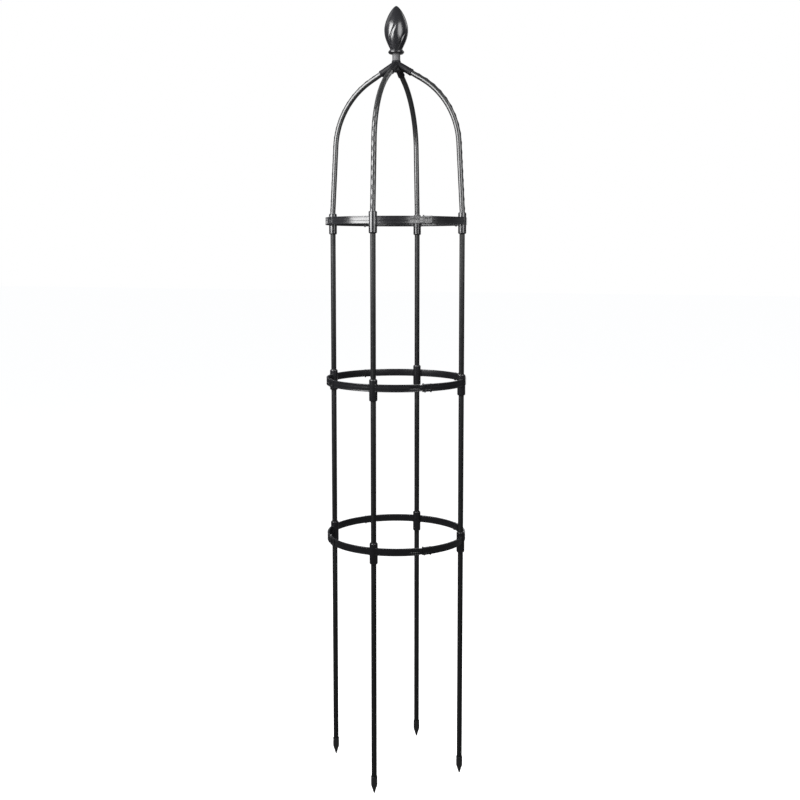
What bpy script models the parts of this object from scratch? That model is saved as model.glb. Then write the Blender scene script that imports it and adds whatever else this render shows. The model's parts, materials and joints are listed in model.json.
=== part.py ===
"""Garden obelisk: a round, domed climbing-plant frame that pushes together from tubes and ring quarters.

Metres, +Z up. The origin is on the ground, midway between the four ground spikes.
The legs stand on the +X (right), +Y (rear), -X (left) and -Y (front) axes.
"""

import math

import bmesh
import bpy
from mathutils import Matrix, Vector

OBJECT_NAME = "garden_obelisk"

# Legs, counted anticlockwise from +X as seen from above.
LEG_ANGLES = {"right": 0.0, "rear": 90.0, "left": 180.0, "front": 270.0}

# Driving dimensions, in metres.
TOTAL_HEIGHT = 1.900
LEG_CIRCLE_RADIUS = 0.1675
GAP = 0.0003
WELD_DISTANCE = 0.00001
SHARP_EDGE = math.radians(30.0)

# Coated steel tube, and the sockets that take it.
TUBE_RADIUS = 0.0065
TUBE_WALL = 0.0010
TUBE_SIDES = 12
SOCKET_RADIUS = 0.00695
SOCKET_SIDES = 16

# Ring levels: the middle of each row of sleeves.
RING_LEVELS = {"bottom": 0.597, "middle": 0.9885, "top": 1.380}
SLEEVE_RADIUS = 0.0098
SLEEVE_LENGTH = 0.0510
SLEEVE_CHAMFER = 0.0022
SLEEVE_STOP = 0.0030

# Ring band. Lengths along the band are measured from the sleeve's centre.
BAND_RADIUS = 0.17125
BAND_THICKNESS = 0.0045
BAND_HEIGHT = 0.0180
BAND_LIFT = 0.0055
BAND_SLICE_DEGREES = 6.0
BAND_SHOULDER = 0.1118
NECK_HEIGHT = 0.0150
TONGUE_TIP = 0.1344
TONGUE_HEIGHT = 0.0090
TONGUE_THICKNESS = 0.0020
TONGUE_POINT = 0.0030

# Clip socket at the band's other end.
CLIP_LENGTH = 0.0236
CLIP_THICKNESS = 0.0070
CLIP_HEIGHT = 0.0192
CLIP_DEPTH = 0.0155
CUT_OVERRUN = 0.0010
QUARTER_LENGTH = math.radians(90) * BAND_RADIUS
CLIP_FLOOR = TONGUE_TIP + GAP - QUARTER_LENGTH
CLIP_MOUTH = CLIP_FLOOR - CLIP_DEPTH
CLIP_END = CLIP_MOUTH + CLIP_LENGTH
NECK_END = CLIP_MOUTH - GAP + QUARTER_LENGTH

# Dome arms.
ARM_KINK_HEIGHT = 1.4085
ARM_LEAN = math.radians(3.2)
ARM_BEND_RADIUS = 0.192
ARM_BEND_STEPS = 9
HUB_HEIGHT = 1.7640
HUB_SLOPE = math.radians(30.5)
HUB_SOCKET_LENGTH = 0.0460
HUB_SOCKET_RADIUS = 0.0086
HUB_SOCKET_FLOOR = 0.0200
HUB_CORE_RADIUS = 0.0110
HUB_CORE_TOP = 1.7705
HUB_CORE_BOTTOM = 1.7440
HUB_SPIGOT_DEPTH = 0.0140

# Finial.
SPIGOT_RADIUS = 0.0060
SPIGOT_SOCKET_RADIUS = 0.0064
SPIGOT_SIDES = 24
POST_RADIUS = 0.0101
POST_TOP = 1.7868
POST_SPIGOT_TOP = 1.8060
COLLAR_RADIUS = 0.0196
COLLAR_FOOT_RADIUS = 0.0170
COLLAR_SHOULDER_RADIUS = 0.0150
COLLAR_BEVEL_BOTTOM = 1.7900
COLLAR_BEVEL_TOP = 1.7925
COLLAR_PLUG_RADIUS = 0.0118
COLLAR_PLUG_TOP = 1.8100
BUD_BOTTOM = 1.7980
BUD_FOOT_RADIUS = 0.0149
BUD_WIDEST_RADIUS = 0.0291
BUD_WIDEST_HEIGHT = 0.0432
BUD_FLARE = 0.0058
BUD_FLARE_HEIGHT = 0.0120
BUD_BELLY_BELOW = 0.0152
BUD_BELLY_ABOVE = 0.0260
BUD_TIP_FULLNESS = 0.0090
BUD_TIP_DROP = 0.0010
BUD_WALL = 0.0025
BUD_SIDES = 32
BUD_STEPS = 7

# Ground spikes.
SPIKE_RADIUS = 0.0079
SPIKE_HEIGHT = 0.0430
SPIKE_CONE_HEIGHT = 0.0210
SPIKE_TIP_RADIUS = 0.0016
SPIKE_FLOOR = 0.0225
SPIKE_EDGE = 0.0006

# Colours and finishes: red, green, blue, roughness, metallic.
BLACK_COATING = ("black_coating", (0.022, 0.023, 0.024), 0.42, 0.0)
BLACK_PLASTIC = ("black_plastic", (0.016, 0.016, 0.017), 0.30, 0.0)
GREY_ZINC = ("grey_zinc", (0.34, 0.34, 0.35), 0.45, 0.9)


def clear_scene():
    """Remove whatever objects the file opened with."""
    for obj in list(bpy.data.objects):
        bpy.data.objects.remove(obj, do_unlink=True)


def new_collection(name):
    """A collection of the scene."""
    collection = bpy.data.collections.new(name)
    bpy.context.scene.collection.children.link(collection)
    return collection


def new_material(name, colour, roughness, metallic):
    """One Principled material."""
    material = bpy.data.materials.new(name)
    material.use_nodes = True
    shader = material.node_tree.nodes["Principled BSDF"]
    shader.inputs["Base Color"].default_value = (*colour, 1.0)
    shader.inputs["Roughness"].default_value = roughness
    shader.inputs["Metallic"].default_value = metallic
    material.diffuse_color = (*colour, 1.0)
    return material


def baked_mesh(obj, name):
    """The object's evaluated mesh, welded, with its place applied; the object is removed."""
    bpy.context.view_layer.update()
    evaluated = obj.evaluated_get(bpy.context.evaluated_depsgraph_get())
    mesh = bpy.data.meshes.new_from_object(evaluated)
    mesh.transform(obj.matrix_world)
    mesh.name = name
    bpy.data.objects.remove(obj, do_unlink=True)
    body = bmesh.new()
    body.from_mesh(mesh)
    bmesh.ops.remove_doubles(body, verts=body.verts, dist=WELD_DISTANCE)
    body.to_mesh(mesh)
    body.free()
    return mesh


def tool_object(mesh, name):
    """An object among the cutters, hidden from renders."""
    obj = bpy.data.objects.new(name, mesh)
    obj.hide_render = True
    obj.display_type = "WIRE"
    bpy.data.collections["cutters"].objects.link(obj)
    return obj


def combined(mesh, others, operation, name):
    """The mesh after a union with, or a difference from, each of the other meshes."""
    target = tool_object(mesh, name)
    tools = []
    for index, other in enumerate(others):
        tool = tool_object(other, f"{name}_tool_{index}")
        modifier = target.modifiers.new(f"{operation}_{index}", "BOOLEAN")
        modifier.operation = operation
        modifier.solver = "EXACT"
        modifier.object = tool
        tools.append(tool)
    result = baked_mesh(target, name)
    for tool in tools:
        bpy.data.objects.remove(tool, do_unlink=True)
    return result


def turned_mesh(profile, sides, name):
    """A solid of revolution about Z from a closed profile of (radius, height) points."""
    edges = [(i, (i + 1) % len(profile)) for i in range(len(profile))]
    return screwed_mesh(profile, edges, sides, name)


def solid_turned_mesh(profile, sides, name):
    """A solid of revolution about Z whose open profile starts and ends on the axis."""
    edges = [(i, i + 1) for i in range(len(profile) - 1)]
    return screwed_mesh(profile, edges, sides, name)


def cup_mesh(outside, inside, sides, name):
    """A turned cup: an outside profile from rim to axis, and an inside profile from axis to rim."""
    profile = outside + inside
    count = len(profile)
    last_outside = len(outside) - 1
    edges = [(i, (i + 1) % count) for i in range(count) if i != last_outside]
    return screwed_mesh(profile, edges, sides, name)


def screwed_mesh(profile, edges, sides, name):
    """Turn a profile once round Z with a Screw modifier."""
    mesh = bpy.data.meshes.new(name)
    mesh.from_pydata([(radius, 0.0, height) for radius, height in profile], edges, [])
    obj = tool_object(mesh, name)
    screw = obj.modifiers.new("turn", "SCREW")
    screw.axis = "Z"
    screw.angle = math.tau
    screw.steps = sides
    screw.render_steps = sides
    screw.use_merge_vertices = True
    screw.merge_threshold = WELD_DISTANCE
    screw.use_smooth_shade = False
    return baked_mesh(obj, name)


def outline_mesh(points, thickness, name):
    """A flat outline in XY, thickened equally above and below."""
    curve = bpy.data.curves.new(name, "CURVE")
    curve.dimensions = "2D"
    curve.fill_mode = "BOTH"
    curve.extrude = thickness / 2
    spline = curve.splines.new("POLY")
    spline.points.add(len(points) - 1)
    for point, (x, y) in zip(spline.points, points):
        point.co = (x, y, 0.0, 1.0)
    spline.use_cyclic_u = True
    return baked_mesh(tool_object(curve, name), name)


def rectangle(x_low, x_high, height):
    """Corners of a rectangle centred on the X axis."""
    return [(x_low, -height / 2), (x_high, -height / 2), (x_high, height / 2), (x_low, height / 2)]


def bezier_points(start, handle_a, handle_b, end, steps):
    """Points on a cubic curve from start to end, without the start."""
    points = []
    for step in range(1, steps + 1):
        t = step / steps
        weights = ((1 - t) ** 3, 3 * t * (1 - t) ** 2, 3 * t * t * (1 - t), t ** 3)
        corners = (start, handle_a, handle_b, end)
        points.append(tuple(sum(w * c[axis] for w, c in zip(weights, corners)) for axis in (0, 1)))
    return points


def place_node(mesh, name, collection, material, spec=(0.0, (0.0, 0.0, 0.0))):
    """One sub-part: its own object, turned about Z and moved into place."""
    angle, location = spec
    obj = bpy.data.objects.new(name, mesh)
    obj.location = location
    obj.rotation_euler = (0.0, 0.0, math.radians(angle))
    collection.objects.link(obj)
    if not mesh.materials:
        mesh.materials.append(material)
        mesh.shade_smooth()
        mesh.set_sharp_from_angle(angle=SHARP_EDGE)
    return obj


def leg_spot(angle):
    """The point on the ground under a leg's centreline."""
    turn = math.radians(angle)
    return (LEG_CIRCLE_RADIUS * math.cos(turn), LEG_CIRCLE_RADIUS * math.sin(turn), 0.0)


def straight_tube_mesh(bottom, top, name):
    """A hollow straight tube on the Z axis."""
    inner = TUBE_RADIUS - TUBE_WALL
    profile = [(TUBE_RADIUS, top), (TUBE_RADIUS, bottom), (inner, bottom), (inner, top)]
    return turned_mesh(profile, TUBE_SIDES, name)


def arm_path():
    """Centreline of a dome arm, as (radius, height), from its foot up to its seat in the hub."""
    foot = Vector((LEG_CIRCLE_RADIUS, RING_LEVELS["top"] + SLEEVE_STOP / 2 + GAP))
    kink = Vector((LEG_CIRCLE_RADIUS, ARM_KINK_HEIGHT))
    hub = Vector((0.0, HUB_HEIGHT))
    rising = Vector((-math.sin(ARM_LEAN), math.cos(ARM_LEAN)))
    falling = Vector((math.cos(HUB_SLOPE), -math.sin(HUB_SLOPE)))
    # The two straight lines meet at a corner, which the bend rounds off.
    determinant = rising.x * -falling.y + falling.x * rising.y
    to_hub = hub - kink
    along = (to_hub.x * -falling.y + falling.x * to_hub.y) / determinant
    corner = kink + rising * along
    turn = math.pi / 2 - ARM_LEAN - HUB_SLOPE
    setback = ARM_BEND_RADIUS * math.tan(turn / 2)
    bend_start = corner - rising * setback
    centre = bend_start - Vector((rising.y, -rising.x)) * ARM_BEND_RADIUS
    path = [foot, kink]
    for step in range(ARM_BEND_STEPS + 1):
        angle = ARM_LEAN + turn * step / ARM_BEND_STEPS
        path.append(centre + Vector((math.cos(angle), math.sin(angle))) * ARM_BEND_RADIUS)
    path.append(hub + falling * (HUB_SOCKET_FLOOR + GAP))
    return path


def arm_mesh():
    """A hollow bent arm, in the XZ plane of the right-hand leg."""
    curve = bpy.data.curves.new("dome_arm", "CURVE")
    curve.dimensions = "3D"
    curve.bevel_depth = TUBE_RADIUS
    curve.bevel_resolution = TUBE_SIDES // 2 - 2
    curve.use_fill_caps = False
    path = arm_path()
    spline = curve.splines.new("POLY")
    spline.points.add(len(path) - 1)
    for point, (radius, height) in zip(spline.points, path):
        point.co = (radius, 0.0, height, 1.0)
    skin = baked_mesh(tool_object(curve, "dome_arm_skin"), "dome_arm_skin")
    shell = tool_object(skin, "dome_arm_shell")
    solidify = shell.modifiers.new("wall", "SOLIDIFY")
    solidify.thickness = TUBE_WALL
    solidify.offset = -1.0
    solidify.use_rim = True
    return baked_mesh(shell, "dome_arm")


def rolled(mesh):
    """Bend a flat strip, drawn as length along X and height along Y, onto the ring's radius."""
    body = bmesh.new()
    body.from_mesh(mesh)
    lengths = [vertex.co.x for vertex in body.verts]
    slice_length = math.radians(BAND_SLICE_DEGREES) * BAND_RADIUS
    first = math.ceil(min(lengths) / slice_length)
    last = math.floor(max(lengths) / slice_length)
    for index in range(first, last + 1):
        geometry = body.verts[:] + body.edges[:] + body.faces[:]
        cut_at = Vector((index * slice_length, 0.0, 0.0))
        bmesh.ops.bisect_plane(body, geom=geometry, dist=WELD_DISTANCE, plane_co=cut_at, plane_no=(1, 0, 0))
    for vertex in body.verts:
        along, height, outwards = vertex.co
        angle = along / BAND_RADIUS
        radius = BAND_RADIUS + outwards
        vertex.co = (radius * math.cos(angle), radius * math.sin(angle), height)
    body.to_mesh(mesh)
    body.free()
    return mesh


def band_outline():
    """Front view of the band: full height, then a shoulder and a narrower neck."""
    half = BAND_HEIGHT / 2
    neck = NECK_HEIGHT / 2
    start = (CLIP_FLOOR + CLIP_END) / 2
    slope = half - neck
    return [
        (start, -half),
        (BAND_SHOULDER - slope, -half),
        (BAND_SHOULDER, -neck),
        (NECK_END, -neck),
        (NECK_END, neck),
        (BAND_SHOULDER, neck),
        (BAND_SHOULDER - slope, half),
        (start, half),
    ]


def tongue_outline():
    """Front view of the tongue that snaps into the next quarter's clip."""
    half = TONGUE_HEIGHT / 2
    return [
        (BAND_SHOULDER, -half),
        (TONGUE_TIP - TONGUE_POINT, -half),
        (TONGUE_TIP, -half + TONGUE_POINT),
        (TONGUE_TIP, half - TONGUE_POINT),
        (TONGUE_TIP - TONGUE_POINT, half),
        (BAND_SHOULDER, half),
    ]


def band_mesh():
    """The curved band with its tongue and its clip, about the ring's axis, mid-height at zero."""
    band = outline_mesh(band_outline(), BAND_THICKNESS, "band")
    tongue = outline_mesh(tongue_outline(), TONGUE_THICKNESS, "tongue")
    clip = outline_mesh(rectangle(CLIP_MOUTH, CLIP_END, CLIP_HEIGHT), CLIP_THICKNESS, "clip")
    slot_height = TONGUE_HEIGHT + 2 * GAP
    slot_outline = rectangle(CLIP_MOUTH - CUT_OVERRUN, CLIP_FLOOR, slot_height)
    slot = outline_mesh(slot_outline, TONGUE_THICKNESS + 2 * GAP, "clip_slot")
    flat = combined(band, [tongue, clip], "UNION", "band_with_clip")
    return rolled(combined(flat, [slot], "DIFFERENCE", "band_with_slot"))


def sleeve_mesh():
    """The leg sleeve before its two tube sockets are cut, on the right-hand leg, mid-height at zero."""
    half = SLEEVE_LENGTH / 2
    edge = SLEEVE_RADIUS - SLEEVE_CHAMFER / 2
    profile = [
        (0.0, half),
        (edge, half),
        (SLEEVE_RADIUS, half - SLEEVE_CHAMFER),
        (SLEEVE_RADIUS, -half + SLEEVE_CHAMFER),
        (edge, -half),
        (0.0, -half),
    ]
    mesh = solid_turned_mesh(profile, SOCKET_SIDES, "sleeve")
    mesh.transform(Matrix.Translation((LEG_CIRCLE_RADIUS, 0.0, 0.0)))
    return mesh


def sleeve_socket_mesh(direction):
    """The cutter for the tube socket above (+1) or below (-1) the sleeve's stop."""
    near = direction * SLEEVE_STOP / 2
    far = direction * SLEEVE_LENGTH
    top = max(near, far)
    bottom = min(near, far)
    profile = [(0.0, top), (SOCKET_RADIUS, top), (SOCKET_RADIUS, bottom), (0.0, bottom)]
    mesh = solid_turned_mesh(profile, SOCKET_SIDES, "sleeve_socket")
    mesh.transform(Matrix.Translation((LEG_CIRCLE_RADIUS, 0.0, 0.0)))
    return mesh


def ring_quarter_mesh():
    """One moulding: a leg sleeve, a quarter of the ring, a tongue and a clip."""
    band = band_mesh()
    band.transform(Matrix.Translation((0.0, 0.0, BAND_LIFT)))
    body = combined(sleeve_mesh(), [band], "UNION", "ring_quarter_body")
    sockets = [sleeve_socket_mesh(1), sleeve_socket_mesh(-1)]
    return combined(body, sockets, "DIFFERENCE", "ring_quarter")


def spike_mesh():
    """A pointed cap that pushes over a leg's lower end."""
    rim = SPIKE_RADIUS - SPIKE_EDGE
    outside = [
        (SOCKET_RADIUS, SPIKE_HEIGHT),
        (rim, SPIKE_HEIGHT),
        (SPIKE_RADIUS, SPIKE_HEIGHT - SPIKE_EDGE),
        (SPIKE_RADIUS, SPIKE_CONE_HEIGHT),
        (SPIKE_TIP_RADIUS, 0.0),
        (0.0, 0.0),
    ]
    inside = [(0.0, SPIKE_FLOOR), (SOCKET_RADIUS, SPIKE_FLOOR)]
    return cup_mesh(outside, inside, SOCKET_SIDES, "ground_spike")


def sloped_cylinder(radius, near, far, angle, name):
    """A cylinder along a hub socket's axis, between two distances from the hub's centre."""
    profile = [(0.0, far), (radius, far), (radius, near), (0.0, near)]
    mesh = solid_turned_mesh(profile, SOCKET_SIDES, name)
    tilt = Matrix.Rotation(math.pi / 2 + HUB_SLOPE, 4, "Y")
    turn = Matrix.Rotation(math.radians(angle), 4, "Z")
    mesh.transform(Matrix.Translation((0.0, 0.0, HUB_HEIGHT)) @ turn @ tilt)
    return mesh


def hub_mesh():
    """Four sloping arm sockets round a core that takes the finial post."""
    core_edge = HUB_CORE_RADIUS - SLEEVE_CHAMFER / 2
    core_profile = [
        (0.0, HUB_CORE_TOP),
        (core_edge, HUB_CORE_TOP),
        (HUB_CORE_RADIUS, HUB_CORE_TOP - SLEEVE_CHAMFER / 2),
        (HUB_CORE_RADIUS, HUB_CORE_BOTTOM + SLEEVE_CHAMFER),
        (HUB_CORE_RADIUS - SLEEVE_CHAMFER, HUB_CORE_BOTTOM),
        (0.0, HUB_CORE_BOTTOM),
    ]
    core = solid_turned_mesh(core_profile, SPIGOT_SIDES, "hub_core")
    angles = LEG_ANGLES.values()
    arms = [sloped_cylinder(HUB_SOCKET_RADIUS, 0.0, HUB_SOCKET_LENGTH, a, "hub_arm") for a in angles]
    body = combined(core, arms, "UNION", "hub_body")
    reach = HUB_SOCKET_LENGTH + SLEEVE_LENGTH
    bores = [sloped_cylinder(SOCKET_RADIUS, HUB_SOCKET_FLOOR, reach, a, "hub_bore") for a in angles]
    floor = HUB_CORE_TOP - HUB_SPIGOT_DEPTH - GAP
    above = HUB_CORE_TOP + HUB_SPIGOT_DEPTH
    bore_profile = [(0.0, above), (SPIGOT_SOCKET_RADIUS, above), (SPIGOT_SOCKET_RADIUS, floor), (0.0, floor)]
    bores.append(solid_turned_mesh(bore_profile, SPIGOT_SIDES, "post_bore"))
    return combined(body, bores, "DIFFERENCE", "top_hub")


def post_mesh():
    """The grey spacer under the finial, with a spigot at each end."""
    bottom = HUB_CORE_TOP + GAP
    profile = [
        (0.0, POST_SPIGOT_TOP),
        (SPIGOT_RADIUS, POST_SPIGOT_TOP),
        (SPIGOT_RADIUS, POST_TOP),
        (POST_RADIUS, POST_TOP),
        (POST_RADIUS, bottom),
        (SPIGOT_RADIUS, bottom),
        (SPIGOT_RADIUS, HUB_CORE_TOP - HUB_SPIGOT_DEPTH),
        (0.0, HUB_CORE_TOP - HUB_SPIGOT_DEPTH),
    ]
    return solid_turned_mesh(profile, SPIGOT_SIDES, "finial_post")


def collar_mesh():
    """The flared collar that closes the bud and turns on the post's upper spigot."""
    shoulder = BUD_BOTTOM - GAP
    foot = POST_TOP + GAP
    profile = [
        (COLLAR_PLUG_RADIUS, COLLAR_PLUG_TOP),
        (COLLAR_PLUG_RADIUS, shoulder),
        (COLLAR_SHOULDER_RADIUS, shoulder),
        (COLLAR_RADIUS, COLLAR_BEVEL_TOP),
        (COLLAR_RADIUS, COLLAR_BEVEL_BOTTOM),
        (COLLAR_FOOT_RADIUS, foot),
        (SPIGOT_SOCKET_RADIUS, foot),
        (SPIGOT_SOCKET_RADIUS, COLLAR_PLUG_TOP),
    ]
    return turned_mesh(profile, SPIGOT_SIDES, "finial_collar")


def bud_outline(inset):
    """The bud's side from its foot to its tip, as (radius, height), moved in by a wall thickness."""
    tip = TOTAL_HEIGHT - BUD_BOTTOM - inset
    widest = (BUD_WIDEST_RADIUS - inset, BUD_WIDEST_HEIGHT)
    foot = (BUD_FOOT_RADIUS - inset, 0.0)
    above_foot = (foot[0] + BUD_FLARE, BUD_FLARE_HEIGHT)
    below_widest = (widest[0], BUD_WIDEST_HEIGHT - BUD_BELLY_BELOW)
    above_widest = (widest[0], BUD_WIDEST_HEIGHT + BUD_BELLY_ABOVE)
    below_tip = (BUD_TIP_FULLNESS, tip - BUD_TIP_DROP)
    points = [foot]
    points += bezier_points(foot, above_foot, below_widest, widest, BUD_STEPS)
    points += bezier_points(widest, above_widest, below_tip, (0.0, tip), BUD_STEPS)
    return [(radius, BUD_BOTTOM + height) for radius, height in points]


def bud_mesh():
    """The hollow bud, open at its foot."""
    outside = bud_outline(0.0)[::-1]
    inside = bud_outline(BUD_WALL)
    return solid_turned_mesh(outside + inside, BUD_SIDES, "finial_bud")


def build():
    """Make every sub-part."""
    clear_scene()
    parts = new_collection(OBJECT_NAME)
    new_collection("cutters")
    coating = new_material(*BLACK_COATING)
    plastic = new_material(*BLACK_PLASTIC)
    zinc = new_material(*GREY_ZINC)

    half_stop = SLEEVE_STOP / 2 + GAP
    bottom = RING_LEVELS["bottom"]
    middle = RING_LEVELS["middle"]
    top = RING_LEVELS["top"]
    tubes = {
        "lower_tube": straight_tube_mesh(SPIKE_FLOOR + GAP, bottom - half_stop, "lower_tube"),
        "middle_tube": straight_tube_mesh(bottom + half_stop, middle - half_stop, "middle_tube"),
        "upper_tube": straight_tube_mesh(middle + half_stop, top - half_stop, "upper_tube"),
    }
    spike = spike_mesh()
    quarter = ring_quarter_mesh()
    arm = arm_mesh()
    for leg, angle in LEG_ANGLES.items():
        spot = leg_spot(angle)
        place_node(spike, f"ground_spike_{leg}", parts, plastic, (angle, spot))
        for tube_name, mesh in tubes.items():
            place_node(mesh, f"{tube_name}_{leg}", parts, coating, (angle, spot))
        for level, height in RING_LEVELS.items():
            place_node(quarter, f"{level}_ring_quarter_{leg}", parts, plastic, (angle, (0, 0, height)))
        place_node(arm, f"dome_arm_{leg}", parts, coating, (angle, (0, 0, 0)))
    place_node(hub_mesh(), "top_hub", parts, plastic)
    place_node(post_mesh(), "finial_post", parts, zinc)
    place_node(collar_mesh(), "finial_collar", parts, plastic)
    place_node(bud_mesh(), "finial_bud", parts, plastic)


build()
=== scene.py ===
"""Garden obelisk: detailed meshes, finishes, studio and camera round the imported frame.

Metres, +Z up, in the frame's own coordinates. Legs are counted anticlockwise from +X.
Lengths along a ring band are measured from its quarter's sleeve.
"""

import json
import math

import bmesh
import bpy
import numpy as np
from mathutils import Matrix, Vector


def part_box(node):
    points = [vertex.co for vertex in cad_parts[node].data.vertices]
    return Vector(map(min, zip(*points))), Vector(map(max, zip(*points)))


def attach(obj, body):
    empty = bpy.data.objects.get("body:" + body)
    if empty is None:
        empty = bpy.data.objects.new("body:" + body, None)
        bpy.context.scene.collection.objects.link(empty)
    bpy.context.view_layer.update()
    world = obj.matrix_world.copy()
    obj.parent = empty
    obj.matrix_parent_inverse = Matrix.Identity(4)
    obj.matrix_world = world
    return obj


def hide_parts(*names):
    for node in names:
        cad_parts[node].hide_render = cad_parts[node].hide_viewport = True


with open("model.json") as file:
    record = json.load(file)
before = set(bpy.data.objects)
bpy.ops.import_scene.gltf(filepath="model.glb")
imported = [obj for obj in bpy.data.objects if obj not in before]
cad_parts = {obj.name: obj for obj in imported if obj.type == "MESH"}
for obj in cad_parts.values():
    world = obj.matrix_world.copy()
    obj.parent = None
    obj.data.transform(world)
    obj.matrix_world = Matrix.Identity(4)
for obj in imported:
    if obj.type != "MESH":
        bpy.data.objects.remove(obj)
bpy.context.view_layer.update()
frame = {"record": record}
BODY_OF = {node: body for body, nodes in frame["record"]["behaviour"]["bodies"].items() for node in nodes}

LEG_ANGLES = {"right": 0.0, "rear": 90.0, "left": 180.0, "front": 270.0}
LEVELS = ("bottom", "middle", "top")
GAP = 0.0003
WELD = 0.000002
CORNER_SHARE = 0.48
CREASE_ANGLE = 35.0
ROUND_CREASE_ANGLE = 60.0

# Sizes read from the frame.
TUBE_LOW, TUBE_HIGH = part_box("lower_tube_right")
TUBE_RADIUS = (TUBE_HIGH.y - TUBE_LOW.y) / 2
LEG_RADIUS = (TUBE_HIGH.x + TUBE_LOW.x) / 2
QUARTER_LOW, QUARTER_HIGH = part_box("top_ring_quarter_right")
SLEEVE_LENGTH = QUARTER_HIGH.z - QUARTER_LOW.z
SLEEVE_RADIUS = QUARTER_HIGH.x - LEG_RADIUS
SPIKE_LOW, SPIKE_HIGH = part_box("ground_spike_right")
SPIKE_RADIUS = (SPIKE_HIGH.y - SPIKE_LOW.y) / 2
POST_LOW, POST_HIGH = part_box("finial_post")
POST_RADIUS = POST_HIGH.x
COLLAR_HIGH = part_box("finial_collar")[1]
COLLAR_RADIUS = COLLAR_HIGH.x
BUD_LOW, BUD_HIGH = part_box("finial_bud")
BUD_RADIUS = BUD_HIGH.x
BUD_HEIGHT = BUD_HIGH.z - BUD_LOW.z

# Tubes and sockets.
TUBE_WALL = 0.0010
TUBE_SIDES = 48
SOCKET_RADIUS = 0.00695
SLEEVE_STOP = 0.0030
SLEEVE_TAPER = 0.0016
SLEEVE_MOUTH_RADIUS = 0.0088
SLEEVE_LIP = 0.0011
SLEEVE_LIP_SWELL = 0.0002

# Ground spikes.
SPIKE_TIP_RADIUS = 0.0012
SPIKE_POINT_RADIUS = SPIKE_RADIUS * 0.62
SPIKE_POINT_HEIGHT = 0.0120
SPIKE_SHOULDER_HEIGHT = 0.0205
SPIKE_SOCKET_FLOOR = 0.0225
SPIKE_GROOVE_BELOW_TOP = 0.0060
SPIKE_GROOVE_HALF_WIDTH = 0.0012
SPIKE_GROOVE_DEPTH = 0.0005

# Ring band.
BAND_RADIUS = 0.17125
BAND_HALF_THICKNESS = 0.00225
BAND_HALF_HEIGHT = 0.0090
BAND_LIFT = 0.0055
BAND_RIM = 0.0019
BAND_VALLEY = 0.00025
BAND_VALLEY_SLOPE = 0.0006
BAND_SHOULDER = 0.1118
BAND_SHOULDER_RAMP = 0.0022
BEAD_FOOT = 0.0019
BEAD_HALF_HEIGHT = 0.0013
BEAD_DROP = 0.00015
NECK_HALF_HEIGHT = 0.0075
TONGUE_TIP = 0.1344
TONGUE_HALF_HEIGHT = 0.0045
TONGUE_HALF_THICKNESS = 0.0010
TONGUE_ROUNDING = 0.0007
BARS_START = 0.0880
BAR_PITCH = 0.0046
BAR_COUNT = 5
BAR_SHARE = 0.36
BAR_SOFTNESS = 0.08
BARS_RAMP = 0.0006
BARS_DEEPER_VALLEY = 0.8
BARS_DEEPER_BEAD = 0.0009
QUARTER_LENGTH = math.radians(90) * BAND_RADIUS
WEB_START = SLEEVE_RADIUS * 0.8
WEB_REACH = 0.0150
WEB_OUTER = 0.0008
WEB_INNER = 0.0034
WEB_HEIGHT = 0.0005

# Where the band starts past its clip's floor, and how finely its cross-sections are spaced.
BAND_INSET = 0.0030
BAND_STEP = 0.0030
WEB_STEP = 0.0008
BARS_STEP = 0.00025
BARS_MARGIN = 0.0010
NECK_END_RUN = 0.0008
NECK_END_ROUNDING = 0.0006
CLIP_STEP = 0.0003

# Clip socket at the band's other end.
CLIP_LENGTH = 0.0236
CLIP_DEPTH = 0.0155
CLIP_FLOOR = TONGUE_TIP + GAP - QUARTER_LENGTH
CLIP_MOUTH = CLIP_FLOOR - CLIP_DEPTH
CLIP_END = CLIP_MOUTH + CLIP_LENGTH
NECK_END = CLIP_MOUTH - GAP + QUARTER_LENGTH
CLIP_HALF_THICKNESS = 0.0031
CLIP_HALF_HEIGHT = 0.0092
CLIP_ROUNDING = 0.0009
CLIP_RIDGE = 0.0004
CLIP_NEAR_RIDGE = (0.0020, 0.0027)
CLIP_FAR_RIDGE = (CLIP_LENGTH - 0.0030, CLIP_LENGTH - 0.0023)
CLIP_WINDOWS = ((0.0044, 0.0104), (0.0130, 0.0186))
CLIP_WINDOW_RAMP = 0.0005
CLIP_WINDOW_HALF_HEIGHT = 0.0044
CLIP_WINDOW_DEPTH = 0.0012
CLIP_SLOT_ROUNDING = 0.0004
CLIP_SLOT_OVERRUN = 0.0030
CLIP_NUB_HALF_LENGTH = 0.0013
CLIP_NUB_HALF_THICKNESS = 0.0020
CLIP_NUB_HALF_HEIGHT = 0.0016
CLIP_NUB_ROUNDING = 0.0009
CLIP_NUB_LOW = -CLIP_HALF_HEIGHT - 0.0004
CLIP_NUB_HIGH = CLIP_HALF_HEIGHT + 0.0003
CLIP_NUBS_BELOW = (CLIP_MOUTH + 0.0062, CLIP_END - 0.0018)
CLIP_NUBS_ABOVE = (CLIP_MOUTH + 0.0016,)

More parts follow.
